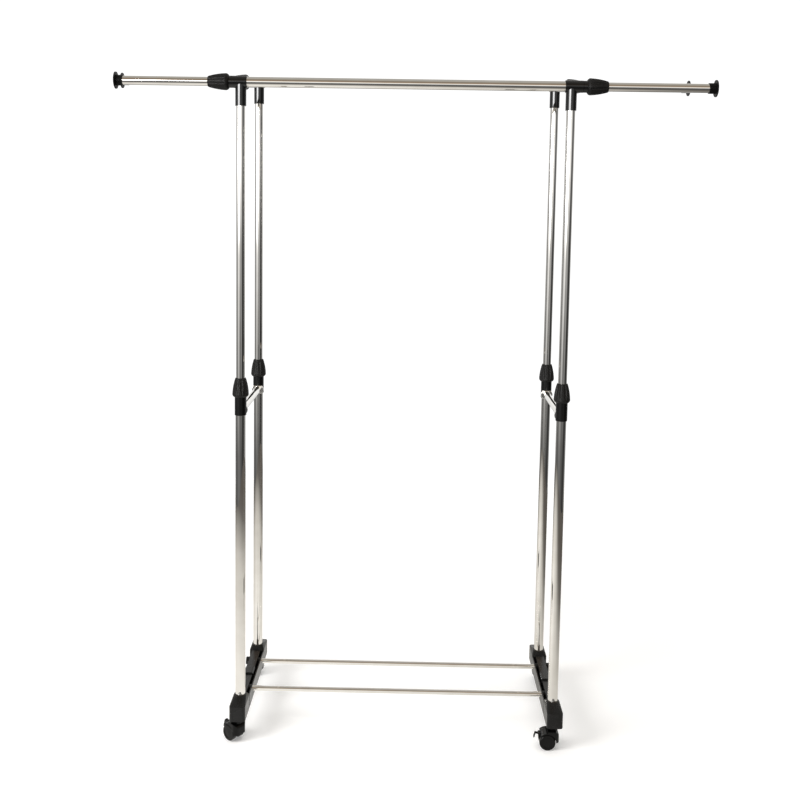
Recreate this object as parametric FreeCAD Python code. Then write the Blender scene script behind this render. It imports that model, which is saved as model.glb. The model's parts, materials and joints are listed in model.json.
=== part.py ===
import FreeCAD, Part
import math
import os
from FreeCAD import Placement, Rotation, Vector

# Rolling clothes rack with two height-adjustable rails. Millimetres.
# X runs along the rails, Y from front (-) to rear (+), Z up.
# The origin is on the floor, midway between the four legs.

# ---------------------------------------------------------------- tubes
LOWER_TUBE_R = 12.5         # lower uprights and centre rails, 25 mm outside
UPPER_TUBE_R = 11.0         # upper uprights and extension rods, 22 mm outside
BAR_R = 6.35                # bottom bars, half an inch outside
BRACE_R = 9.5               # brace bars
TUBE_WALL = 0.8
UPPER_TUBE_LENGTH = 850.0
EXTENSION_ROD_LENGTH = 350.0

# ---------------------------------------------------------------- layout
LEG_X = 395.0
LEG_Y = 142.5
SIDES = {"left": -1, "right": 1}
ENDS = {"front": -1, "rear": 1}
RAIL_Z = {"front": 1632.0, "rear": 1663.0}
# Distance from the middle plane to each end cap's outer face.
CAP_REACH = {
    ("left", "front"): 698.0,
    ("right", "front"): 741.0,
    ("left", "rear"): 765.0,
    ("right", "rear"): 752.0,
}

# ---------------------------------------------------------------- clearances
SLIDE_GAP = 0.3             # between a sliding tube and the jaws that guide it
SEAT_GAP = 0.05             # around a tube pressed into its socket
RUN_GAP = 0.05              # around a shaft that turns in its hole
NUT_GAP = 0.5               # between a twist nut and the shoulder below it

# ---------------------------------------------------------------- twist-lock nuts
LEG_NUT_HEIGHT = 47.0
RAIL_NUT_HEIGHT = 50.0
RAIL_NUT_BACKED_OFF = {("right", "front"): 9.0}     # rail nuts set looser than the rest
NUT_FOOT_R = 16.0
NUT_BELLY_R = 20.0
NUT_BELLY_Z = 9.0
NUT_TOP_R = 13.2
NUT_SIDE_BULGE = 1.3
NUT_EDGE = 1.0
NUT_FLUTES = 10
FLUTE_R = 5.0
FLUTE_DEPTH = 0.7
FLUTE_OVERRUN = 0.2         # share of the flute's length that the cutter runs past each end
NUT_THREAD_R = 14.6
NUT_THREAD_HEIGHT = 17.0
NUT_THROAT_R = 13.0
NUT_THROAT_Z = 39.0
NUT_HOLE_R = 11.6

# ---------------------------------------------------------------- slotted jaws under the nuts
JAW_THREAD_R = 14.2
JAW_THREAD_HEIGHT = 16.0
JAW_TIP_R = 12.6
JAW_HEIGHT = 38.0
JAW_SLOT_WIDTH = 2.0
JAW_SLOT_Z = 15.0
JAW_BORE_R = UPPER_TUBE_R + SLIDE_GAP

# ---------------------------------------------------------------- leg collars
COLLAR_BOTTOM_Z = 822.0
COLLAR_HEIGHT = 45.5
COLLAR_R = 14.5
COLLAR_ROUND = 1.5
COLLAR_SEAT_DEPTH = 38.0
BRACE_RISE = 11.0           # brace bar axis above the collar's bottom
SPIGOT_REACH = 30.0         # collar's spigot inside the brace bar, from the leg axis
SADDLE_R = 15.5             # oval saddle at each end of a brace bar
SADDLE_HALF_HEIGHT = 10.6
SADDLE_BACK = 11.0          # from the leg axis
SADDLE_FACE = 16.2          # from the leg axis
SADDLE_ROUND = 1.2

# ---------------------------------------------------------------- T connectors on top
TEE_SLEEVE_R = 14.5
TEE_INNER_REACH = 15.5
TEE_OUTER_REACH = 28.0
TEE_STUB_R = 13.25
TEE_STUB_DROP = 57.0
TEE_RAIL_SEAT = 5.0         # rail tube end, outboard of the leg axis
TEE_UPRIGHT_TOP = 15.5      # upright's top end, below the rail axis
TEE_EDGE = 0.8

# ---------------------------------------------------------------- end caps
CAP_FLANGE_R = 20.3
CAP_FLANGE_EDGE = 2.6
CAP_DOME = 1.6
CAP_SHOULDER = 0.6          # the dome has dropped by half this share at this share of its radius
CAP_NECK_R = 12.7
CAP_NECK_LENGTH = 16.0

# ---------------------------------------------------------------- guide plugs in the uprights
GUIDE_R = 11.35
GUIDE_FLANGE = 6.0
GUIDE_SPIGOT = 14.0

# ---------------------------------------------------------------- feet
FOOT_BOTTOM_Z = 57.0
FOOT_HALF_LENGTH = 194.5
FOOT_HALF_WIDTH = 20.0
FOOT_CORNER_R = 8.0
FOOT_WALL = 2.5
FOOT_FLOOR = 3.0
WALL_TOP_Z = 93.0
SPINE_HALF_WIDTH = 11.0
SPINE_TOP_Z = 97.0
LEDGE_REACH = 14.0
LEDGE_TOP_Z = 90.0
BLOCK_START = 118.0
BLOCK_TOP_Z = 94.0
RIM_R = 15.5
RIM_TOP_Z = 105.0
LEG_SOCKET_Z = 66.0
JOINT_FRONT = 22.0          # the rear half laps the front half by this much
JOINT_REAR = 14.0
JOINT_HALF_WIDTH = 13.0
JOINT_TOP_Z = 101.0
JOINT_ROUND = 5.0
TONGUE_HALF_WIDTH = 9.5
TONGUE_TOP_Z = 96.0
TONGUE_END = 1.5
STEM_Y = 176.0

# ---------------------------------------------------------------- bottom bars and their screws
BOTTOM_BAR_Y = 76.4
BOTTOM_BAR_Z = 86.0
BAR_BOSS_R = 8.0
BAR_SEAT_DEPTH = 16.0
BAR_PLUG = 12.0
SCREW_BOSS_R = 10.5
SCREW_BOSS_REACH = 21.0
SCREW_HEAD_R = 4.4
SCREW_HEAD_HEIGHT = 3.0
SCREW_R = 2.2
SCREW_END = -13.0
SCREW_SLOT = (1.2, 2.6, 0.5)  # depth, half length and half width of each cross slot

# ---------------------------------------------------------------- twin-wheel casters
WHEEL_R = 20.0
WHEEL_IN = 6.0
WHEEL_OUT = 18.6
WHEEL_ROUND = 2.5
HUBCAP_R = 12.5
HUBCAP_DEPTH = 1.2
TRAIL = 17.0
HOOD_HALF_WIDTH = 19.0
HOOD_R = 24.5
HOOD_WELL_R = 21.4
HOOD_LEAD = 12.0
HOOD_TOP_Z = 48.0
HOOD_TAIL_ANGLE = 46.0
HOOD_LEAD_ROUND = 11.0
WEB_HALF = 4.5
HUB_R = 8.0
NECK_R = 9.5
NECK_TOP_Z = 56.4
STEM_R = 4.0
STEM_BOTTOM_Z = 46.0
STEM_TOP_Z = 88.0
AXLE_R = 2.5
AXLE_HALF = 16.5
TRAIL_ANGLE = {
    ("left", "front"): 140.0,
    ("right", "front"): 180.0,
    ("left", "rear"): 180.0,
    ("right", "rear"): 0.0,
}

# ---------------------------------------------------------------- brake levers
BRAKED = [("left", "front"), ("right", "front")]
PIVOT_ANGLE = 40.0
PIVOT_RADIUS = 25.5
PIVOT_PIN_R = 1.5
EAR_R = 3.4
EAR_IN = 4.0
EAR_OUT = 6.6
EAR_ARM_R = 2.4
EAR_ROOT_R = 1.5
EAR_ROOT_LEAD = 8.0         # degrees from the hood's tail up to the ears' roots
LEVER_HALF = 3.6
LEVER_EYE_R = 3.1
LEVER_TIP = (49.5, 27.0)
LEVER_KNEE = (46.5, 38.0)
LEVER_THICKNESS = 2.6
PAD_ANGLE = 27.0
PAD_RADIUS = 22.8
PAD_R = 1.3
PAD_HALF = 15.0

TINY = 1.0                  # how far a cutter runs past the face that it opens
ORIGIN = Vector(0, 0, 0)
X_AXIS = Vector(1, 0, 0)
Y_AXIS = Vector(0, 1, 0)
Z_AXIS = Vector(0, 0, 1)


# ================================================================ helpers
def rod(radius, start, end):
    """Solid cylinder between two points."""
    along = end - start
    return Part.makeCylinder(radius, along.Length, start, along)


def tube(radius, start, end, wall=TUBE_WALL):
    """Open tube between two points."""
    return rod(radius, start, end).cut(rod(radius - wall, start, end))


def box(low, high):
    """Solid box between two opposite corners."""
    size = high - low
    return Part.makeBox(size.x, size.y, size.z, low)


def arc(start, middle, end):
    return Part.Arc(start, middle, end).toShape()


def line(start, end):
    return Part.makeLine(start, end)


def turned(edges):
    """Solid of revolution about Z from a closed outline in the XZ plane."""
    return Part.Face(Part.Wire(edges)).revolve(ORIGIN, Z_AXIS, 360)


def polyline(points):
    return [line(a, b) for a, b in zip(points, points[1:])]


def placed(shape, position, direction):
    """Copy of a shape built along +Z, moved so that +Z points in a direction."""
    copy = shape.copy()
    copy.Placement = Placement(position, Rotation(Z_AXIS, direction))
    return copy


def mirrored(shape, normal):
    return shape.mirror(ORIGIN, normal)


def rounded_rectangle(x_low, x_high, y_low, y_high, z, radius):
    """Closed outline of four lines and four quarter arcs."""
    edges = []
    centres = [
        (x_high - radius, y_low + radius, -90),
        (x_high - radius, y_high - radius, 0),
        (x_low + radius, y_high - radius, 90),
        (x_low + radius, y_low + radius, 180),
    ]
    corners = []
    for cx, cy, turn in centres:
        points = []
        for step in (0, 45, 90):
            angle = math.radians(turn + step)
            points.append(Vector(cx + radius * math.cos(angle), cy + radius * math.sin(angle), z))
        corners.append(points)
    for index, points in enumerate(corners):
        edges.append(arc(*points))
        edges.append(line(points[2], corners[(index + 1) % len(corners)][0]))
    return Part.Wire(edges)


def prism(outline, height):
    return Part.Face(outline).extrude(Vector(0, 0, height))


# ================================================================ twist locks
def twist_nut(height):
    """Fluted nut, its foot at z = 0, that tapers towards its top."""
    foot = Vector(NUT_FOOT_R, 0, 0)
    belly = Vector(NUT_BELLY_R, 0, NUT_BELLY_Z)
    shoulder = Vector(NUT_TOP_R, 0, height - NUT_EDGE)
    tuck = Vector(NUT_BELLY_R - NUT_EDGE, 0, NUT_BELLY_Z / 3)
    bulge = (belly + shoulder) / 2 + Vector(NUT_SIDE_BULGE, 0, 0)
    inside = [
        shoulder,
        Vector(NUT_TOP_R - NUT_EDGE, 0, height),
        Vector(NUT_HOLE_R, 0, height),
        Vector(NUT_HOLE_R, 0, NUT_THROAT_Z),
        Vector(NUT_THROAT_R, 0, NUT_THROAT_Z),
        Vector(NUT_THREAD_R, 0, NUT_THREAD_HEIGHT),
        Vector(NUT_THREAD_R, 0, 0),
        foot,
    ]
    body = turned([arc(foot, tuck, belly), arc(belly, bulge, shoulder)] + polyline(inside))
    low = Vector(NUT_BELLY_R + FLUTE_R - FLUTE_DEPTH, 0, NUT_BELLY_Z)
    high = Vector(NUT_TOP_R + FLUTE_R - FLUTE_DEPTH, 0, height)
    along = high - low
    cutter = rod(FLUTE_R, low - along * FLUTE_OVERRUN, high + along * FLUTE_OVERRUN)
    cutters = []
    for index in range(NUT_FLUTES):
        flute = cutter.copy()
        flute.rotate(ORIGIN, Z_AXIS, index * 360 / NUT_FLUTES)
        cutters.append(flute)
    return body.cut(cutters)


def jaws():
    """Slotted tapered jaws on a threaded root, standing on z = 0."""
    outline = [
        Vector(JAW_BORE_R, 0, 0),
        Vector(JAW_THREAD_R, 0, 0),
        Vector(JAW_THREAD_R, 0, JAW_THREAD_HEIGHT),
        Vector(JAW_TIP_R, 0, JAW_HEIGHT),
        Vector(JAW_BORE_R, 0, JAW_HEIGHT),
        Vector(JAW_BORE_R, 0, 0),
    ]
    body = turned(polyline(outline))
    half = JAW_SLOT_WIDTH / 2
    reach = JAW_THREAD_R + TINY
    top = JAW_HEIGHT + TINY
    slots = [
        box(Vector(-reach, -half, JAW_SLOT_Z), Vector(reach, half, top)),
        box(Vector(-half, -reach, JAW_SLOT_Z), Vector(half, reach, top)),
    ]
    return body.cut(slots)


# ================================================================ legs
def lower_upright(x, y):
    top = COLLAR_BOTTOM_Z + COLLAR_SEAT_DEPTH
    return tube(LOWER_TUBE_R, Vector(x, y, LEG_SOCKET_Z), Vector(x, y, top))


def upright_bottom(end):
    return RAIL_Z[end] - TEE_UPRIGHT_TOP - UPPER_TUBE_LENGTH


def upper_upright(x, y, end):
    bottom = upright_bottom(end)
    return tube(UPPER_TUBE_R, Vector(x, y, bottom), Vector(x, y, bottom + UPPER_TUBE_LENGTH))


def guide_plug(x, y, end):
    """Plastic plug that keeps the upper tube centred in the lower one."""
    seat = Vector(x, y, upright_bottom(end))
    flange = rod(GUIDE_R, seat - Z_AXIS * GUIDE_FLANGE, seat)
    spigot_r = UPPER_TUBE_R - TUBE_WALL - SEAT_GAP
    return flange.fuse(rod(spigot_r, seat, seat + Z_AXIS * GUIDE_SPIGOT)).removeSplitter()


def leg_collar(x, y, end_sign):
    """Collar on a lower tube, with jaws on top and a side spigot for the brace."""
    body = Part.makeCylinder(COLLAR_R, COLLAR_HEIGHT)
    rim = [edge for edge in body.Edges if edge.BoundBox.ZMax < TINY and edge.Closed]
    body = body.makeFillet(COLLAR_ROUND, rim)
    axis_point = Vector(0, 0, BRACE_RISE)
    inward = Vector(0, -end_sign, 0)
    spigot_r = BRACE_R - TUBE_WALL - SEAT_GAP
    spigot = rod(spigot_r, axis_point, axis_point + inward * SPIGOT_REACH)
    top_jaws = placed(jaws(), Vector(0, 0, COLLAR_HEIGHT), Z_AXIS)
    body = body.fuse([spigot, top_jaws])
    seat_r = LOWER_TUBE_R + SEAT_GAP
    seat = rod(seat_r, Vector(0, 0, -TINY), Vector(0, 0, COLLAR_SEAT_DEPTH))
    bore = rod(JAW_BORE_R, Vector(0, 0, -TINY), Vector(0, 0, COLLAR_HEIGHT + TINY))
    body = body.cut([seat, bore]).removeSplitter()
    body.translate(Vector(x, y, COLLAR_BOTTOM_Z))
    return body


def leg_nut(x, y):
    foot = Vector(x, y, COLLAR_BOTTOM_Z + COLLAR_HEIGHT + NUT_GAP)
    return placed(twist_nut(LEG_NUT_HEIGHT), foot, Z_AXIS)


def saddle(x, z, end_sign):
    """Flange at a brace bar's end, flat above and below, its face away from the leg."""
    face = Vector(x, end_sign * (LEG_Y - SADDLE_FACE), z)
    back = Vector(x, end_sign * (LEG_Y - SADDLE_BACK), z)
    disc = rod(SADDLE_R, face, back)
    corner = Vector(SADDLE_R, LEG_Y, SADDLE_HALF_HEIGHT)
    middle = Vector(x, 0, z)
    plate = disc.common(box(middle - corner, middle + corner))
    rim = [edge for edge in plate.Edges if abs(edge.CenterOfMass.y - face.y) < TINY]
    return plate.makeFillet(SADDLE_ROUND, rim)


def brace_bar(x):
    """Cross tube between the collars of one side, with a saddle against each."""
    z = COLLAR_BOTTOM_Z + BRACE_RISE
    reach = LEG_Y - SADDLE_BACK
    body = rod(BRACE_R, Vector(x, -reach, z), Vector(x, reach, z))
    body = body.fuse([saddle(x, z, sign) for sign in ENDS.values()])
    hollow_reach = LEG_Y * Y_AXIS
    middle = Vector(x, 0, z)
    cutters = [rod(BRACE_R - TUBE_WALL, middle - hollow_reach, middle + hollow_reach)]
    for sign in ENDS.values():
        leg = Vector(x, sign * LEG_Y, z)
        rise = Z_AXIS * (SADDLE_R + TINY)
        cutters.append(rod(COLLAR_R + SEAT_GAP, leg - rise, leg + rise))
    return body.cut(cutters).removeSplitter()


# ================================================================ rails
def rail_tube(y, z):
    reach = LEG_X + TEE_RAIL_SEAT
    return tube(LOWER_TUBE_R, Vector(-reach, y, z), Vector(reach, y, z))


def rail_tee(side, y, z):
    """T connector: sleeve along the rail, stub for the upright, jaws outboard."""
    outward = X_AXIS * side
    centre = Vector(side * LEG_X, y, z)
    inner = centre - outward * TEE_INNER_REACH
    outer = centre + outward * TEE_OUTER_REACH
    sleeve = rod(TEE_SLEEVE_R, inner, outer)
    sleeve = sleeve.makeChamfer(TEE_EDGE, [edge for edge in sleeve.Edges if edge.Closed])
    stub = rod(TEE_STUB_R, centre - Z_AXIS * TEE_STUB_DROP, centre)
    body = sleeve.fuse([stub, placed(jaws(), outer, outward)])
    rail_end = centre + outward * TEE_RAIL_SEAT
    cutters = [
        rod(LOWER_TUBE_R + SEAT_GAP, inner - outward * TINY, rail_end),
        rod(JAW_BORE_R, inner, outer + outward * TINY),
        rod(
            UPPER_TUBE_R + SEAT_GAP,
            centre - Z_AXIS * (TEE_STUB_DROP + TINY),
            centre - Z_AXIS * TEE_UPRIGHT_TOP,
        ),
    ]
    return body.cut(cutters).removeSplitter()


def rail_nut(side, y, z, backed_off):
    foot = Vector(side * (LEG_X + TEE_OUTER_REACH + NUT_GAP + backed_off), y, z)
    return placed(twist_nut(RAIL_NUT_HEIGHT), foot, X_AXIS * side)


def extension_rod(side, y, z, reach):
    outer = reach - CAP_FLANGE_EDGE - CAP_DOME
    start = Vector(side * (outer - EXTENSION_ROD_LENGTH), y, z)
    return tube(UPPER_TUBE_R, start, Vector(side * outer, y, z))


def end_cap(side, y, z, reach):
    """Flanged stopper with a neck over the rod's end; its dome peaks at z = 0."""
    flange_back = -CAP_DOME - CAP_FLANGE_EDGE
    neck_end = flange_back - CAP_NECK_LENGTH
    bore_r = UPPER_TUBE_R + SEAT_GAP
    rim = Vector(CAP_FLANGE_R, 0, -CAP_DOME)
    dome_middle = Vector(CAP_FLANGE_R * CAP_SHOULDER, 0, -CAP_DOME * CAP_SHOULDER / 2)
    outline = polyline([
        rim,
        Vector(CAP_FLANGE_R, 0, flange_back),
        Vector(CAP_NECK_R, 0, flange_back),
        Vector(CAP_NECK_R, 0, neck_end),
        Vector(bore_r, 0, neck_end),
        Vector(bore_r, 0, flange_back),
        Vector(0, 0, flange_back),
        ORIGIN,
    ])
    shape = turned([arc(ORIGIN, dome_middle, rim)] + outline)
    return placed(shape, Vector(side * reach, y, z), X_AXIS * side)


# ================================================================ feet
def end_block():
    """Block at the foot's end that rises to a round rim about the leg."""
    width = FOOT_HALF_WIDTH
    outline = rounded_rectangle(
        -width, width, BLOCK_START, FOOT_HALF_LENGTH, FOOT_BOTTOM_Z, FOOT_CORNER_R
    )
    block = prism(outline, BLOCK_TOP_Z - FOOT_BOTTOM_Z)
    roof_base = rounded_rectangle(
        -width, width, BLOCK_START, FOOT_HALF_LENGTH, BLOCK_TOP_Z, FOOT_CORNER_R
    )
    roof_top = rounded_rectangle(
        -RIM_R, RIM_R, LEG_Y - RIM_R, LEG_Y + RIM_R, RIM_TOP_Z, RIM_R - SEAT_GAP
    )
    roof = Part.makeLoft([roof_base, roof_top], True, True)
    wall = FOOT_FLOOR
    pocket = box(
        Vector(wall - width, BLOCK_START + wall, FOOT_BOTTOM_Z - TINY),
        Vector(width - wall, FOOT_HALF_LENGTH - wall, BLOCK_TOP_Z - wall),
    )
    tower = rod(RIM_R, Vector(0, LEG_Y, 0), Vector(0, LEG_Y, BLOCK_TOP_Z))
    stem_boss = rod(NECK_R, Vector(0, STEM_Y, 0), Vector(0, STEM_Y, BLOCK_TOP_Z))
    pocket = pocket.cut([tower, stem_boss])
    return block.fuse(roof).cut(pocket)


def foot_channel(start):
    """Floor, inner side wall, raised spine and outer ledge between the ends."""
    bottom = FOOT_BOTTOM_Z
    inner = -FOOT_HALF_WIDTH
    end = BLOCK_START + FOOT_FLOOR
    spine = SPINE_HALF_WIDTH
    pieces = [
        box(Vector(inner, start, bottom), Vector(LEDGE_REACH, end, bottom + FOOT_FLOOR)),
        box(Vector(inner, start, bottom), Vector(inner + FOOT_WALL, end, WALL_TOP_Z)),
        box(Vector(-spine, start, bottom), Vector(spine, end, SPINE_TOP_Z)),
        box(Vector(0, start, bottom), Vector(LEDGE_REACH, end, LEDGE_TOP_Z)),
    ]
    return pieces[0].fuse(pieces[1:])


def bar_fittings():
    """Inner boss that takes the bottom bar and outer boss that takes its screw."""
    axis = Vector(0, BOTTOM_BAR_Y, BOTTOM_BAR_Z)
    bar_boss = rod(BAR_BOSS_R, axis - X_AXIS * FOOT_HALF_WIDTH, axis)
    screw_boss = rod(SCREW_BOSS_R, axis, axis + X_AXIS * SCREW_BOSS_REACH)
    seat_end = axis + X_AXIS * (BAR_SEAT_DEPTH - FOOT_HALF_WIDTH)
    seat = rod(BAR_R + SEAT_GAP, axis - X_AXIS * (FOOT_HALF_WIDTH + TINY), seat_end)
    head_seat = axis + X_AXIS * (SCREW_BOSS_REACH - SCREW_HEAD_HEIGHT)
    head_hole = rod(SCREW_HEAD_R + SEAT_GAP, head_seat, head_seat + X_AXIS * FOOT_HALF_WIDTH)
    shank_hole = rod(SCREW_R + SEAT_GAP, seat_end - X_AXIS, head_seat + X_AXIS)
    return [bar_boss, screw_boss], [seat, head_hole, shank_hole]


def spine_pocket(start):
    """Hollow under the spine, interrupted where the bottom bar is seated."""
    inside = SPINE_HALF_WIDTH - FOOT_WALL
    pocket = box(
        Vector(-inside, start, FOOT_BOTTOM_Z - TINY),
        Vector(inside, BLOCK_START, SPINE_TOP_Z - FOOT_FLOOR),
    )
    half = SCREW_BOSS_R + TINY
    keep = box(
        Vector(-SPINE_HALF_WIDTH, BOTTOM_BAR_Y - half, 0),
        Vector(SPINE_HALF_WIDTH, BOTTOM_BAR_Y + half, SPINE_TOP_Z),
    )
    return pocket.cut(keep)


def foot_body(start, hollow_start):
    bosses, holes = bar_fittings()
    body = foot_channel(start).fuse([end_block()] + bosses)
    leg_seat = rod(
        LOWER_TUBE_R + SEAT_GAP, Vector(0, LEG_Y, LEG_SOCKET_Z), Vector(0, LEG_Y, RIM_TOP_Z + TINY)
    )
    stem_seat = rod(
        STEM_R + SEAT_GAP, Vector(0, STEM_Y, FOOT_BOTTOM_Z - TINY), Vector(0, STEM_Y, STEM_TOP_Z)
    )
    return body.cut([leg_seat, stem_seat, spine_pocket(hollow_start)] + holes)


def rear_foot_half():
    """Half with the lapping collar; the collar reaches forward past the middle."""
    body = foot_body(-JOINT_FRONT, JOINT_REAR)
    collar = box(
        Vector(-JOINT_HALF_WIDTH, -JOINT_FRONT, FOOT_BOTTOM_Z),
        Vector(JOINT_HALF_WIDTH, JOINT_REAR, JOINT_TOP_Z),
    )
    top_edges = [
        edge for edge in collar.Edges
        if edge.BoundBox.ZMin > JOINT_TOP_Z - TINY and edge.BoundBox.YLength > TINY
    ]
    body = body.fuse(collar.makeFillet(JOINT_ROUND, top_edges))
    half = TONGUE_HALF_WIDTH + SEAT_GAP
    tongue_hole = box(
        Vector(-half, -JOINT_FRONT - TINY, FOOT_BOTTOM_Z + FOOT_FLOOR - SEAT_GAP),
        Vector(half, 0, TONGUE_TOP_Z + SEAT_GAP),
    )
    return body.cut(tongue_hole).removeSplitter()


def front_foot_half():
    """Half with the tongue, built pointing to the rear and mirrored to the front."""
    body = foot_body(JOINT_FRONT + SEAT_GAP, JOINT_FRONT + SPINE_HALF_WIDTH)
    tongue = box(
        Vector(-TONGUE_HALF_WIDTH, TONGUE_END, FOOT_BOTTOM_Z + FOOT_FLOOR),
        Vector(TONGUE_HALF_WIDTH, JOINT_FRONT + SPINE_HALF_WIDTH, TONGUE_TOP_Z),
    )
    return mirrored(body.fuse(tongue).removeSplitter(), Y_AXIS)


def foot_half(side, end):
    half = rear_foot_half() if end == "rear" else front_foot_half()
    if side < 0:
        half = mirrored(half, X_AXIS)
    half.translate(X_AXIS * side * LEG_X)
    return half


def bottom_bar(end_sign):
    """Tube with a tapped plug in each end."""
    y = end_sign * BOTTOM_BAR_Y
    reach = LEG_X - FOOT_HALF_WIDTH + BAR_SEAT_DEPTH - SEAT_GAP
    start = Vector(-reach, y, BOTTOM_BAR_Z)
    end = Vector(reach, y, BOTTOM_BAR_Z)
    plug = X_AXIS * BAR_PLUG
    bar = rod(BAR_R, start, end)
    hollow = rod(BAR_R - TUBE_WALL, start + plug, end - plug)
    tapped = rod(SCREW_R + SEAT_GAP, start, end)
    return bar.cut([hollow, tapped])


def bar_screw(side, end_sign):
    """Cross-slotted pan-head screw that holds one end of a bottom bar."""
    y = end_sign * BOTTOM_BAR_Y
    outer = LEG_X + SCREW_BOSS_REACH
    head_seat = outer - SCREW_HEAD_HEIGHT
    tip = Vector(side * (LEG_X + SCREW_END), y, BOTTOM_BAR_Z)
    seat = Vector(side * head_seat, y, BOTTOM_BAR_Z)
    face = Vector(side * (outer - SEAT_GAP), y, BOTTOM_BAR_Z)
    screw = rod(SCREW_R, tip, seat).fuse(rod(SCREW_HEAD_R, seat, face))
    slots = []
    depth, long, narrow = SCREW_SLOT
    for corner in (Vector(depth, long, narrow), Vector(depth, narrow, long)):
        slots.append(box(face - corner, face + corner))
    return screw.cut(slots).removeSplitter()


# ================================================================ casters
# Each is built with its stem on the Z axis and its wheels trailing along +X.
def on_circle(angle, radius):
    """Point in the XZ plane at an angle and radius about the axle."""
    turn = math.radians(angle)
    return Vector(TRAIL + radius * math.cos(turn), 0, WHEEL_R + radius * math.sin(turn))


def extruded(edges, half):
    """Solid from an outline in the XZ plane, centred on Y."""
    face = Part.Face(Part.Wire(edges))
    face.translate(Vector(0, -half, 0))
    return face.extrude(Vector(0, 2 * half, 0))


def hood_shell():
    """Mudguard over the wheels, with a full-height leading side."""
    tail_out = on_circle(HOOD_TAIL_ANGLE, HOOD_R)
    tail_in = on_circle(HOOD_TAIL_ANGLE, HOOD_WELL_R)
    crown = on_circle(90, HOOD_R)
    brow = Vector(0, 0, HOOD_TOP_Z)
    lead_top = Vector(-HOOD_LEAD, 0, HOOD_TOP_Z - HOOD_LEAD)
    corner = math.cos(math.radians(45)) * HOOD_LEAD
    lead_mid = Vector(-corner, 0, HOOD_TOP_Z - HOOD_LEAD + corner)
    lead_low = Vector(-HOOD_LEAD, 0, WHEEL_R)
    lead_in = on_circle(180, HOOD_WELL_R)
    edges = [
        arc(tail_out, on_circle((HOOD_TAIL_ANGLE + 90) / 2, HOOD_R), crown),
        line(crown, Vector(crown.x, 0, HOOD_TOP_Z)),
        line(Vector(crown.x, 0, HOOD_TOP_Z), brow),
        arc(brow, lead_mid, lead_top),
        line(lead_top, lead_low),
        line(lead_low, lead_in),
        arc(lead_in, on_circle((180 + HOOD_TAIL_ANGLE) / 2, HOOD_WELL_R), tail_in),
        line(tail_in, tail_out),
    ]
    return extruded(edges, HOOD_HALF_WIDTH)


def hood_plan():
    """Plan outline that rounds the leading corners of the hood."""
    far = TRAIL + HOOD_R + TINY
    width = HOOD_HALF_WIDTH
    outline = rounded_rectangle(-HOOD_LEAD, far, -width, width, 0, HOOD_LEAD_ROUND)
    square_end = box(Vector(far / 2, -width, 0), Vector(far, width, NECK_TOP_Z))
    return prism(outline, NECK_TOP_Z).fuse(square_end)


def hood_web():
    """Middle plate that carries the axle between the two wheels."""
    axle = on_circle(0, 0)
    hub = rod(HUB_R, axle - Y_AXIS * WEB_HALF, axle + Y_AXIS * WEB_HALF)
    corners = [
        on_circle(200, HUB_R),
        on_circle(180, HOOD_WELL_R + TINY),
        on_circle(120, HOOD_WELL_R + TINY),
        on_circle(70, HOOD_WELL_R + TINY),
        on_circle(20, HUB_R),
    ]
    plate = extruded(polyline(corners + corners[:1]), WEB_HALF)
    return [hub, plate]


def pivot_point():
    return on_circle(PIVOT_ANGLE, PIVOT_RADIUS)


def lever_ears():
    """Two ears and the pin between them that carry the brake lever."""
    pivot = pivot_point()
    root = on_circle(HOOD_TAIL_ANGLE + EAR_ROOT_LEAD, (HOOD_R + HOOD_WELL_R) / 2)
    middle = (pivot + root) / 2
    pieces = [rod(PIVOT_PIN_R, pivot - Y_AXIS * EAR_OUT, pivot + Y_AXIS * EAR_OUT)]
    for sign in (-1, 1):
        near = Y_AXIS * sign * EAR_IN
        far = Y_AXIS * sign * EAR_OUT
        pieces.append(rod(EAR_R, pivot + near, pivot + far))
        pieces.append(rod(EAR_ROOT_R, root + near, root + far))
        pieces.append(rod(EAR_ARM_R, middle + near, middle + far))
    return pieces


def caster_hood(braked):
    shell = hood_shell().common(hood_plan())
    neck = rod(NECK_R, Vector(0, 0, HOOD_TOP_Z - TINY), Vector(0, 0, NECK_TOP_Z))
    body = shell.fuse([neck] + hood_web())
    if braked:
        pivot = pivot_point()
        clear = rod(LEVER_EYE_R + SLIDE_GAP, pivot - Y_AXIS * EAR_IN, pivot + Y_AXIS * EAR_IN)
        body = body.cut(clear).fuse(lever_ears())
    hole_floor = Vector(0, 0, STEM_BOTTOM_Z - RUN_GAP)
    stem_hole = rod(STEM_R + RUN_GAP, hole_floor, Vector(0, 0, NECK_TOP_Z + TINY))
    axle = on_circle(0, 0)
    axle_hole = rod(AXLE_R + SEAT_GAP, axle - Y_AXIS * WHEEL_OUT, axle + Y_AXIS * WHEEL_OUT)
    return body.cut([stem_hole, axle_hole]).removeSplitter()


def caster_stem():
    return rod(STEM_R, Vector(0, 0, STEM_BOTTOM_Z), Vector(0, 0, STEM_TOP_Z - SEAT_GAP))


def caster_axle():
    axle = on_circle(0, 0)
    return rod(AXLE_R, axle - Y_AXIS * AXLE_HALF, axle + Y_AXIS * AXLE_HALF)


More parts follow.
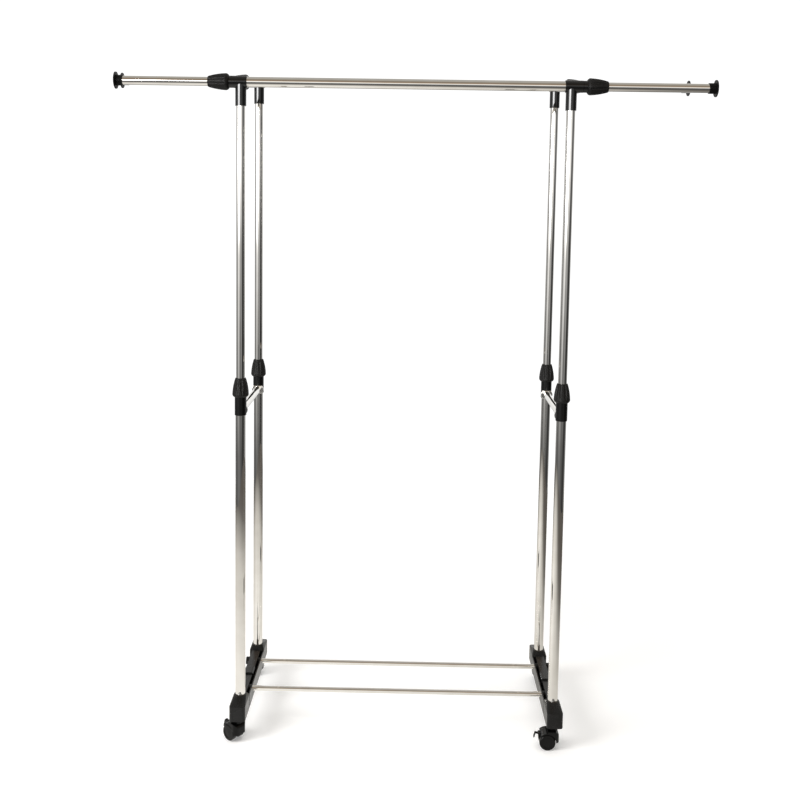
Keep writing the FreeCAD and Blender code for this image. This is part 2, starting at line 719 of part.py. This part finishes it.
def caster_wheel():
    """One wheel about Z: rounded tread, dished outer face, blind axle hole."""
    depth = WHEEL_OUT - WHEEL_IN
    edge = WHEEL_ROUND * (1 - math.cos(math.radians(45)))
    bore = AXLE_R + RUN_GAP
    blind = AXLE_HALF - WHEEL_IN + SLIDE_GAP
    tread_out = Vector(WHEEL_R, 0, depth - WHEEL_ROUND)
    face_out = Vector(WHEEL_R - WHEEL_ROUND, 0, depth)
    tread_in = Vector(WHEEL_R, 0, WHEEL_ROUND)
    face_in = Vector(WHEEL_R - WHEEL_ROUND, 0, 0)
    outline = polyline([
        face_out,
        Vector(HUBCAP_R + HUBCAP_DEPTH, 0, depth),
        Vector(HUBCAP_R, 0, depth - HUBCAP_DEPTH),
        Vector(0, 0, depth - HUBCAP_DEPTH / 2),
        Vector(0, 0, blind),
        Vector(bore, 0, blind),
        Vector(bore, 0, 0),
        face_in,
    ])
    outline.append(arc(face_in, Vector(WHEEL_R - edge, 0, edge), tread_in))
    outline.append(line(tread_in, tread_out))
    outline.append(arc(tread_out, Vector(WHEEL_R - edge, 0, depth - edge), face_out))
    return turned(outline)


def caster_wheels():
    wheel = caster_wheel()
    axle = on_circle(0, 0)
    pair = [placed(wheel, axle + Y_AXIS * sign * WHEEL_IN, Y_AXIS * sign) for sign in (-1, 1)]
    return Part.makeCompound(pair)


def brake_lever():
    """Pedal that hooks over the hood's tail, with a pad bar facing the wheels."""
    pivot = pivot_point()
    knee = Vector(LEVER_KNEE[0], 0, LEVER_KNEE[1])
    tip = Vector(LEVER_TIP[0], 0, LEVER_TIP[1])
    half = Y_AXIS * LEVER_HALF
    eye = rod(LEVER_EYE_R, pivot - half, pivot + half)
    pad = on_circle(PAD_ANGLE, PAD_RADIUS)
    round_r = LEVER_THICKNESS / 2
    pieces = [rod(PAD_R, pad - Y_AXIS * PAD_HALF, pad + Y_AXIS * PAD_HALF)]
    for start, end in ((pivot, pad), (pivot + X_AXIS * LEVER_EYE_R, knee), (knee, tip)):
        along = (end - start).normalize()
        across = Vector(-along.z, 0, along.x) * round_r
        corners = [start + across, end + across, end - across, start - across, start + across]
        pieces.append(extruded(polyline(corners), LEVER_HALF))
        pieces.append(rod(round_r, end - half, end + half))
        pieces.append(rod(round_r, start - half, start + half))
    pin_hole = rod(PIVOT_PIN_R + RUN_GAP, pivot - Y_AXIS * EAR_OUT, pivot + Y_AXIS * EAR_OUT)
    return eye.fuse(pieces).cut(pin_hole).removeSplitter()


def at_corner(shape, side, end):
    """Turn a caster piece to its trail direction and move it under its foot."""
    copy = shape.copy()
    position = Vector(SIDES[side] * LEG_X, ENDS[end] * STEM_Y, 0)
    copy.Placement = Placement(position, Rotation(Z_AXIS, TRAIL_ANGLE[(side, end)]))
    return copy


# ================================================================ assembly
def corner_nodes(side, end):
    """Every node of one corner, keyed by name."""
    sx = SIDES[side]
    sy = ENDS[end]
    x = sx * LEG_X
    y = sy * LEG_Y
    z = RAIL_Z[end]
    reach = CAP_REACH[(side, end)]
    backed_off = RAIL_NUT_BACKED_OFF.get((side, end), 0)
    where = side + "_" + end
    nodes = {
        "foot_" + where: foot_half(sx, end),
        "lower_upright_" + where: lower_upright(x, y),
        "leg_collar_" + where: leg_collar(x, y, sy),
        "leg_nut_" + where: leg_nut(x, y),
        "upper_upright_" + where: upper_upright(x, y, end),
        "rail_tee_" + where: rail_tee(sx, y, z),
        "rail_nut_" + where: rail_nut(sx, y, z, backed_off),
        "extension_rod_" + where: extension_rod(sx, y, z, reach),
        "end_cap_" + where: end_cap(sx, y, z, reach),
        "caster_hood_" + where: at_corner(caster_hood((side, end) in BRAKED), side, end),
        "caster_axle_" + where: at_corner(caster_axle(), side, end),
        "caster_wheels_" + where: at_corner(caster_wheels(), side, end),
    }
    if (side, end) in BRAKED:
        nodes["brake_lever_" + where] = at_corner(brake_lever(), side, end)
    return nodes


def shared_nodes():
    """Bars, rails and the grouped small pieces."""
    corners = [(side, end) for side in SIDES for end in ENDS]
    stems = [at_corner(caster_stem(), side, end) for side, end in corners]
    screws = [bar_screw(SIDES[side], ENDS[end]) for side, end in corners]
    nodes = {
        "caster_stems": Part.makeCompound(stems),
        "bottom_bar_screws": Part.makeCompound(screws),
    }
    for side in SIDES:
        nodes["brace_bar_" + side] = brace_bar(SIDES[side] * LEG_X)
    for end in ENDS:
        y = ENDS[end] * LEG_Y
        guides = [guide_plug(SIDES[side] * LEG_X, y, end) for side in SIDES]
        nodes["bottom_bar_" + end] = bottom_bar(ENDS[end])
        nodes["rail_tube_" + end] = rail_tube(y, RAIL_Z[end])
        nodes["upright_guides_" + end] = Part.makeCompound(guides)
    return nodes


def main():
    os.makedirs("parts", exist_ok=True)
    nodes = shared_nodes()
    for side in SIDES:
        for end in ENDS:
            nodes.update(corner_nodes(side, end))
    for name, shape in sorted(nodes.items()):
        shape.exportStep(os.path.join("parts", name + ".step"))
        solids = shape.Solids
        volume = sum(solid.Volume for solid in solids) / 1000
        print(name, len(solids), "solid(s)", round(volume, 2), "cm3", shape.isValid())


main()
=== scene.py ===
import bpy
import json
import math
from mathutils import Matrix, Vector


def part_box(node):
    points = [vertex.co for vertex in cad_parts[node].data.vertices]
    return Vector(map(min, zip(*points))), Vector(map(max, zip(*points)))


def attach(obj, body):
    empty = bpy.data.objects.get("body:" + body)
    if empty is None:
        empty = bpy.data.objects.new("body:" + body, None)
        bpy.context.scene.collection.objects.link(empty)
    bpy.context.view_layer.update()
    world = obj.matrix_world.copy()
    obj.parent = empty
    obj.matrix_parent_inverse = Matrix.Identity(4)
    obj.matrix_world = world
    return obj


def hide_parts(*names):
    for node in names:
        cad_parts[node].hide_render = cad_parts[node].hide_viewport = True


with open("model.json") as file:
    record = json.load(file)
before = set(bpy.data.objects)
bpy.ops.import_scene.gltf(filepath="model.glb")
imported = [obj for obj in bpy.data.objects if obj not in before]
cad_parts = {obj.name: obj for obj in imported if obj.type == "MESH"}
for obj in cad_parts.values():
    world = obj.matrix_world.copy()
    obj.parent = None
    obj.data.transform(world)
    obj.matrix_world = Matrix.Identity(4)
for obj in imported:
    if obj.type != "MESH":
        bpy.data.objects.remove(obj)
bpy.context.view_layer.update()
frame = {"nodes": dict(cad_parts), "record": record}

NODES = frame["nodes"]
RECORD = frame["record"]
SIDES = ("left", "right")
ENDS = ("front", "rear")
CORNERS = [side + "_" + end for side in SIDES for end in ENDS]
BODY_OF = {
    node: body for body, nodes in RECORD["behaviour"]["bodies"].items() for node in nodes
}
SLOT_OF = {part["node"]: part["material_slot"] for part in RECORD["subparts"]}

# ---------------------------------------------------------------- view
# The camera's angles say how far it is turned down, to its left and over to one side.
CAMERA_PLACE = Vector((0.0231, -2.5587, 1.3647))
CAMERA_PITCH = math.radians(-5.29)
CAMERA_YAW = math.radians(0.70)
CAMERA_ROLL = math.radians(0.89)
CAMERA_LENS = 44.87
CAMERA_SHIFT_Y = -0.1389

# ---------------------------------------------------------------- room seen in reflections
# Angles are in degrees: azimuth 0 is behind the camera and + is to the right; elevation is above
# the horizon. Tones are display greys, 0 to 255; a tone over 255 is a lamp or a window.
RINGS = [    # (elevation, [(azimuth, tone), ...])
    (-15, [
        (-180, 240), (-138, 134), (-105, 96), (-85, 84), (-66, 92), (-45, 108), (-17, 112),
        (0, 98), (20, 86), (35, 74), (50, 62), (68, 50), (82, 56), (104, 108), (150, 185),
        (180, 240),
    ]),
    (-8, [
        (-180, 252), (-122, 158), (-97, 110), (-80, 120), (-56, 185), (-36, 222), (-20, 150),
        (-6, 122), (8, 100), (20, 155), (36, 138), (47, 58), (70, 40), (98, 62), (121, 150),
        (150, 215), (180, 252),
    ]),
    (-3, [
        (-180, 255), (-130, 190), (-96, 132), (-84, 112), (-66, 215), (-42, 254), (-26, 255),
        (-12, 172), (2, 166), (15, 190), (28, 155), (40, 92), (55, 88), (70, 34), (84, 42),
        (105, 120), (118, 165), (150, 235), (180, 255),
    ]),
    (2, [
        (-180, 255), (-140, 205), (-108, 165), (-84, 180), (-66, 250), (-54, 680), (-24, 680),
        (-10, 300), (2, 258), (18, 262), (36, 245), (44, 150), (62, 92), (84, 80), (100, 130),
        (126, 215), (150, 245), (180, 255),
    ]),
    (7, [
        (-180, 255), (-140, 215), (-100, 180), (-82, 225), (-68, 250), (-48, 300), (-43, 1050),
        (-17, 1050), (-10, 300), (2, 258), (18, 255), (38, 215), (46, 120), (80, 100), (96, 135),
        (126, 220), (150, 245), (180, 255),
    ]),
]
FRONT_SKY = [    # (elevation, tones of red, green and blue) behind the camera
    (-90, (104, 98, 90)), (11, (255, 250, 240)), (18, (190, 174, 156)), (27, (160, 138, 120)),
    (40, (130, 118, 104)), (55, (148, 141, 129)), (73, (177, 172, 164)), (90, (176, 175, 172)),
]
BACK_SKY = [    # the same behind the rack
    (-90, (230, 228, 224)), (15, (255, 255, 255)), (30, (225, 223, 218)), (55, (175, 172, 166)),
    (74, (174, 174, 172)), (90, (176, 175, 172)),
]
BACK_SHARE = [(-180, 1), (-140, 1), (-95, 0), (95, 0), (140, 1), (180, 1)]    # by azimuth
SKY_START = 9    # elevation where the last ring has given way to the sky
ROOM_STRENGTH = 1.0
CAMERA_WHITE = 1.1

# ---------------------------------------------------------------- floor and lamps
FLOOR_RADIUS = 2.3
FLOOR_SEGMENTS = 96
FLOOR_PAPER = (0.90, 0.90, 0.90, 1)
FLOOR_ROUGHNESS = 0.6
FLOOR_SPECULAR = 0.2
FLOOR_LIT_PLACE = (-0.5, -0.2, 0)
FLOOR_GLOW = [    # metres from FLOOR_LIT_PLACE, and the light that lifts the paper to white there
    (0.6, 0.21), (1.1, 0.23), (1.5, 0.27), (1.9, 0.36), (2.3, 0.48),
]
FLOOR_GLOW_TINT = (0.93, 0.97, 1.0)
FLOOR_MIRRORED = [    # metres from FLOOR_LIT_PLACE, and the colour that the rack mirrors there
    (0.3, (0.94, 0.92, 0.88)), (0.6, (0.82, 0.80, 0.76)), (0.85, (0.71, 0.69, 0.65)),
    (1.15, (0.63, 0.61, 0.57)), (1.3, (0.52, 0.50, 0.47)), (1.6, (0.28, 0.27, 0.25)),
    (1.8, (0.15, 0.14, 0.13)), (2.2, (0.11, 0.10, 0.09)),
]
KEY_POWER = 66
KEY_SIZE = 1.6
KEY_PLACE = (-2.3, -1.3, 2.0)
KEY_TARGET = (0, 0, 0.2)
TOP_POWER = 45
TOP_SIZE = 3.2
TOP_PLACE = (0.2, -0.2, 3.6)
TOP_TARGET = (0, 0, 0)

# ---------------------------------------------------------------- materials
STEEL_GRAIN = 30
STEEL_ROUGHNESS = [(0.3, 0.018), (0.75, 0.028)]
STEEL_TINT = [(0.3, (0.87, 0.845, 0.80, 1)), (0.7, (0.92, 0.90, 0.86, 1))]
ZINC_GRAIN = 400
ZINC_ROUGHNESS = [(0.3, 0.25), (0.7, 0.4)]
ZINC_TINT = [(0.3, (0.55, 0.55, 0.53, 1)), (0.7, (0.70, 0.69, 0.66, 1))]
MOTTLE_SCALE = 35
NOISE_LOW = 0.3
NOISE_HIGH = 0.7
PLASTICS = {    # specular, dark, light, smooth, rough, grain, depth in metres
    "black_plastic": (0.5, 0.003, 0.006, 0.04, 0.07, 900, 1e-7),
    "black_grip": (0.30, 0.003, 0.007, 0.46, 0.54, 1400, 1e-6),
    "black_cap": (0.08, 0.003, 0.007, 0.36, 0.44, 1400, 1e-6),
    "black_foot": (0.24, 0.005, 0.010, 0.22, 0.30, 1600, 2e-6),
    "caster_plastic": (0.18, 0.002, 0.005, 0.09, 0.13, 900, 1e-7),
    "nylon": (0.4, 0.03, 0.05, 0.4, 0.5, 900, 2e-6),
}
FINISHES = [    # starts of node names, and the duller black moulding that these nodes have
    (("leg_nut_", "rail_nut_"), "black_grip"),
    (("end_cap_",), "black_cap"),
    (("foot_",), "black_foot"),
]

# ---------------------------------------------------------------- pieces
AROUND = 72
TUBE_WALL = 0.0008
LIP = 0.0003
SMOOTH_ANGLE = math.radians(30)
ALONG_X = 0
ALONG_Z = 2


def tone(grey):
    """Linear brightness of a display grey; greys over 255 carry on along the same curve."""
    return ((grey / 255 + 0.055) / 1.055) ** 2.4


def colour_of(value):
    """Linear colour from one tone or three."""
    if isinstance(value, (int, float)):
        value = (value, value, value)
    return (*[tone(part) for part in value], 1)


# ================================================================ camera
def add_camera():
    """Camera in front of the rack, above its middle, looking slightly down."""
    data = bpy.data.cameras.new("camera")
    data.lens = CAMERA_LENS
    data.shift_y = CAMERA_SHIFT_Y
    camera = bpy.data.objects.new("camera", data)
    bpy.context.scene.collection.objects.link(camera)
    camera.location = CAMERA_PLACE
    level = math.radians(90)
    camera.rotation_euler = (level + CAMERA_PITCH, 0, CAMERA_YAW)
    look = camera.rotation_euler.to_matrix()
    backward = look @ Vector((0, 0, 1))
    camera.rotation_euler = (Matrix.Rotation(CAMERA_ROLL, 3, backward) @ look).to_euler()
    bpy.context.scene.camera = camera


# ================================================================ node helpers
def new_tree(name):
    """A new material's (material, nodes, links, shader)."""
    material = bpy.data.materials.new(name)
    material.use_nodes = True
    tree = material.node_tree
    return material, tree.nodes, tree.links, tree.nodes["Principled BSDF"]


def ramp(nodes, links, factor, stops):
    """Colour output of a ramp over a factor, from (position, linear colour or number) stops."""
    node = nodes.new("ShaderNodeValToRGB")
    elements = node.color_ramp.elements
    while len(elements) < len(stops):
        elements.new(0.5)
    for element, (position, colour) in zip(elements, stops):
        element.position = position
        if isinstance(colour, (int, float)):
            colour = (colour, colour, colour, 1)
        element.color = colour
    links.new(factor, node.inputs[0])
    return node.outputs[0]


def maths(nodes, links, operation, first, second=None):
    """Math node on two inputs, each a socket or a number."""
    node = nodes.new("ShaderNodeMath")
    node.operation = operation
    for index, value in enumerate((first, second)):
        if isinstance(value, (int, float)):
            node.inputs[index].default_value = value
        elif value is not None:
            links.new(value, node.inputs[index])
    return node.outputs[0]


def mix(nodes, links, factor, first, second):
    """Colour mix of two sockets."""
    node = nodes.new("ShaderNodeMix")
    node.data_type = "RGBA"
    links.new(factor, node.inputs[0])
    links.new(first, node.inputs[6])
    links.new(second, node.inputs[7])
    return node.outputs[2]


def rise_stop(angle):
    """Ramp position of an elevation."""
    return (angle + 90) / 180


def turn_stop(angle):
    """Ramp position of an azimuth."""
    return (angle + 180) / 360


# ================================================================ studio
def room_light(nodes, links):
    """Colour of the room in a direction: rings near the horizon, a sky above them."""
    direction = nodes.new("ShaderNodeTexCoord").outputs["Generated"]
    split = nodes.new("ShaderNodeSeparateXYZ")
    links.new(direction, split.inputs[0])
    x, y, z = split.outputs
    rise = maths(nodes, links, "ARCSINE", z)
    rise = maths(nodes, links, "MULTIPLY", rise, 1 / math.pi)
    rise = maths(nodes, links, "ADD", rise, 0.5)
    towards = maths(nodes, links, "MULTIPLY", y, -1.0)
    turn = maths(nodes, links, "ARCTAN2", x, towards)
    turn = maths(nodes, links, "MULTIPLY", turn, 0.5 / math.pi)
    turn = maths(nodes, links, "ADD", turn, 0.5)

    room = None
    below = None
    for angle, stops in RINGS:
        ring = ramp(nodes, links, turn, [(turn_stop(a), colour_of(c)) for a, c in stops])
        if room is None:
            room = ring
        else:
            share = ramp(nodes, links, rise, [(rise_stop(below), 0.0), (rise_stop(angle), 1.0)])
            room = mix(nodes, links, share, room, ring)
        below = angle
    front = ramp(nodes, links, rise, [(rise_stop(a), colour_of(c)) for a, c in FRONT_SKY])
    back = ramp(nodes, links, rise, [(rise_stop(a), colour_of(c)) for a, c in BACK_SKY])
    is_back = ramp(nodes, links, turn, [(turn_stop(a), float(c)) for a, c in BACK_SHARE])
    sky = mix(nodes, links, is_back, front, back)
    share = ramp(nodes, links, rise, [(rise_stop(below), 0.0), (rise_stop(SKY_START), 1.0)])
    return mix(nodes, links, share, room, sky)


def add_world():
    """White for the camera, and the room for reflections and soft light."""
    world = bpy.data.worlds.new("studio")
    bpy.context.scene.world = world
    world.use_nodes = True
    nodes = world.node_tree.nodes
    links = world.node_tree.links
    room = nodes["Background"]
    links.new(room_light(nodes, links), room.inputs["Color"])
    room.inputs["Strength"].default_value = ROOM_STRENGTH
    white = nodes.new("ShaderNodeBackground")
    white.inputs["Color"].default_value = (1, 1, 1, 1)
    white.inputs["Strength"].default_value = CAMERA_WHITE
    path = nodes.new("ShaderNodeLightPath")
    choose = nodes.new("ShaderNodeMixShader")
    links.new(path.outputs["Is Camera Ray"], choose.inputs[0])
    links.new(room.outputs[0], choose.inputs[1])
    links.new(white.outputs[0], choose.inputs[2])
    links.new(choose.outputs[0], nodes["World Output"].inputs["Surface"])


def add_floor():
    """White paper floor, which the steel mirrors as falling off into the room."""
    mesh = bpy.data.meshes.new("floor")
    ring = []
    for index in range(FLOOR_SEGMENTS):
        angle = 2 * math.pi * index / FLOOR_SEGMENTS
        ring.append((FLOOR_RADIUS * math.cos(angle), FLOOR_RADIUS * math.sin(angle), 0))
    mesh.from_pydata(ring, [], [list(range(FLOOR_SEGMENTS))])
    floor = bpy.data.objects.new("floor", mesh)
    bpy.context.scene.collection.objects.link(floor)
    material, nodes, links, shader = new_tree("floor_white")
    shader.inputs["Base Color"].default_value = FLOOR_PAPER
    shader.inputs["Emission Strength"].default_value = 1.0
    shader.inputs["Roughness"].default_value = FLOOR_ROUGHNESS
    shader.inputs["Specular IOR Level"].default_value = FLOOR_SPECULAR
    away = nodes.new("ShaderNodeVectorMath")
    away.operation = "SUBTRACT"
    away.inputs[1].default_value = FLOOR_LIT_PLACE
    links.new(nodes.new("ShaderNodeTexCoord").outputs["Object"], away.inputs[0])
    length = nodes.new("ShaderNodeVectorMath")
    length.operation = "LENGTH"
    links.new(away.outputs[0], length.inputs[0])
    out = maths(nodes, links, "DIVIDE", length.outputs["Value"], FLOOR_RADIUS)
    glow = [(reach / FLOOR_RADIUS, (*(light * part for part in FLOOR_GLOW_TINT), 1))
            for reach, light in FLOOR_GLOW]
    links.new(ramp(nodes, links, out, glow), shader.inputs["Emission Color"])
    stops = [(reach / FLOOR_RADIUS, (*light, 1)) for reach, light in FLOOR_MIRRORED]
    mirrored = nodes.new("ShaderNodeEmission")
    links.new(ramp(nodes, links, out, stops), mirrored.inputs["Color"])
    choose = nodes.new("ShaderNodeMixShader")
    links.new(nodes.new("ShaderNodeLightPath").outputs["Is Camera Ray"], choose.inputs[0])
    links.new(mirrored.outputs[0], choose.inputs[1])
    links.new(shader.outputs[0], choose.inputs[2])
    links.new(choose.outputs[0], nodes["Material Output"].inputs["Surface"])
    mesh.materials.append(material)


def add_light(name, place, target, size, power):
    """Round soft lamp aimed at a point, and left out of reflections."""
    data = bpy.data.lights.new(name, "AREA")
    data.shape = "DISK"
    data.size = size
    data.energy = power
    light = bpy.data.objects.new(name, data)
    bpy.context.scene.collection.objects.link(light)
    light.location = place
    aim = Vector(target) - Vector(place)
    light.rotation_euler = aim.to_track_quat("-Z", "Y").to_euler()
    light.visible_glossy = False


def add_lights():
    """Soft light from the left, and a fill from above."""
    add_light("key", KEY_PLACE, KEY_TARGET, KEY_SIZE, KEY_POWER)
    add_light("top", TOP_PLACE, TOP_TARGET, TOP_SIZE, TOP_POWER)


# ================================================================ materials
def polished_steel(name):
    """Polished tube: a mirror with slightly uneven polish and a faint warm mottle."""
    material, nodes, links, shader = new_tree(name)
    shader.inputs["Metallic"].default_value = 1.0
    noise = nodes.new("ShaderNodeTexNoise")
    noise.inputs["Scale"].default_value = STEEL_GRAIN
    noise.inputs["Detail"].default_value = 1
    links.new(nodes.new("ShaderNodeTexCoord").outputs["Object"], noise.inputs["Vector"])
    fac = noise.outputs["Fac"]
    links.new(ramp(nodes, links, fac, STEEL_ROUGHNESS), shader.inputs["Roughness"])
    links.new(ramp(nodes, links, fac, STEEL_TINT), shader.inputs["Base Color"])
    return material


def moulded_plastic(name, specular, dark, light, smooth, rough, grain, depth):
    """Black moulding with uneven gloss, a faint mottle and a fine moulded grain."""
    material, nodes, links, shader = new_tree(name)
    shader.inputs["Specular IOR Level"].default_value = specular
    place = nodes.new("ShaderNodeTexCoord").outputs["Object"]
    fine = nodes.new("ShaderNodeTexNoise")
    fine.inputs["Scale"].default_value = grain
    fine.inputs["Detail"].default_value = 2
    broad = nodes.new("ShaderNodeTexNoise")
    broad.inputs["Scale"].default_value = MOTTLE_SCALE
    broad.inputs["Detail"].default_value = 3
    for noise in (fine, broad):
        links.new(place, noise.inputs["Vector"])
    fac = broad.outputs["Fac"]
    tint = ramp(nodes, links, fac, [(NOISE_LOW, dark), (NOISE_HIGH, light)])
    links.new(tint, shader.inputs["Base Color"])
    gloss = ramp(nodes, links, fac, [(NOISE_LOW, smooth), (NOISE_HIGH, rough)])
    links.new(gloss, shader.inputs["Roughness"])
    bump = nodes.new("ShaderNodeBump")
    bump.inputs["Strength"].default_value = 1.0
    bump.inputs["Distance"].default_value = depth
    links.new(fine.outputs["Fac"], bump.inputs["Height"])
    links.new(bump.outputs[0], shader.inputs["Normal"])
    return material


def zinc_steel(name):
    """Dull plated steel with a fine mottled grain."""
    material, nodes, links, shader = new_tree(name)
    shader.inputs["Metallic"].default_value = 1.0
    noise = nodes.new("ShaderNodeTexNoise")
    noise.inputs["Scale"].default_value = ZINC_GRAIN
    links.new(nodes.new("ShaderNodeTexCoord").outputs["Object"], noise.inputs["Vector"])
    fac = noise.outputs["Fac"]
    links.new(ramp(nodes, links, fac, ZINC_TINT), shader.inputs["Base Color"])
    links.new(ramp(nodes, links, fac, ZINC_ROUGHNESS), shader.inputs["Roughness"])
    return material


def make_materials():
    """One material for each slot, and three duller mouldings among the black plastic."""
    made = {
        "polished_steel": polished_steel("polished_steel"),
        "zinc_steel": zinc_steel("zinc_steel"),
    }
    for name, values in PLASTICS.items():
        made[name] = moulded_plastic(name, *values)
    return made


def finish_of(node):
    """Name of a node's material: its slot's, or the duller moulding of nuts, caps and feet."""
    for starts, finish in FINISHES:
        if node.startswith(starts):
            return finish
    return SLOT_OF[node]


def dress_nodes():
    """Give each carried-over CAD node its finish."""
    for name in SLOT_OF:
        NODES[name].data.materials.clear()
        NODES[name].data.materials.append(MATERIALS[finish_of(name)])


# ================================================================ pieces
def lathe(name, outline, base, direction):
    """Solid of revolution from a closed (radius, height) outline; height runs along direction."""
    turn = direction.to_track_quat("Z", "X").to_matrix()
    points = []
    for index in range(AROUND):
        angle = 2 * math.pi * index / AROUND
        for radius, height in outline:
            local = Vector((radius * math.cos(angle), radius * math.sin(angle), height))
            points.append(base + turn @ local)
    count = len(outline)
    faces = []
    for index in range(AROUND):
        here = index * count
        there = (index + 1) % AROUND * count
        for step in range(count):
            follow = (step + 1) % count
            faces.append((here + step, there + step, there + follow, here + follow))
    mesh = bpy.data.meshes.new(name)
    mesh.from_pydata(points, [], faces)
    mesh.validate()
    piece = bpy.data.objects.new(name, mesh)
    bpy.context.scene.collection.objects.link(piece)
    mesh.shade_smooth()
    mesh.set_sharp_from_angle(angle=SMOOTH_ANGLE)
    return piece


def stand_for(piece, node):
    """A new piece takes a CAD node's place, body and finish."""
    slot = SLOT_OF[node]
    piece.data.materials.append(MATERIALS[slot])
    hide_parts(node)
    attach(piece, BODY_OF[node])


def smooth_tube(node, axis):
    """Round tube with rolled lips over the whole length of a CAD tube."""
    low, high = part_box(node)
    other = (axis + 1) % 3
    radius = (high[other] - low[other]) / 2
    length = high[axis] - low[axis]
    base = (low + high) / 2
    base[axis] = low[axis]
    bore = radius - TUBE_WALL
    outline = [
        (radius - LIP, 0), (radius, LIP), (radius, length - LIP), (radius - LIP, length),
        (bore, length), (bore, 0),
    ]
    direction = Vector((0, 0, 0))
    direction[axis] = 1
    stand_for(lathe(node + "_drawn", outline, base, direction), node)


def make_tubes():
    """Every long tube, drawn finer than its CAD mesh."""
    for corner in CORNERS:
        smooth_tube("lower_upright_" + corner, ALONG_Z)
        smooth_tube("upper_upright_" + corner, ALONG_Z)
        smooth_tube("extension_rod_" + corner, ALONG_X)
    for end in ENDS:
        smooth_tube("rail_tube_" + end, ALONG_X)
        smooth_tube("bottom_bar_" + end, ALONG_X)


# ================================================================ scene
add_camera()
add_world()
add_floor()
add_lights()
bpy.context.scene.view_settings.view_transform = "Standard"
MATERIALS = make_materials()
dress_nodes()
make_tubes()
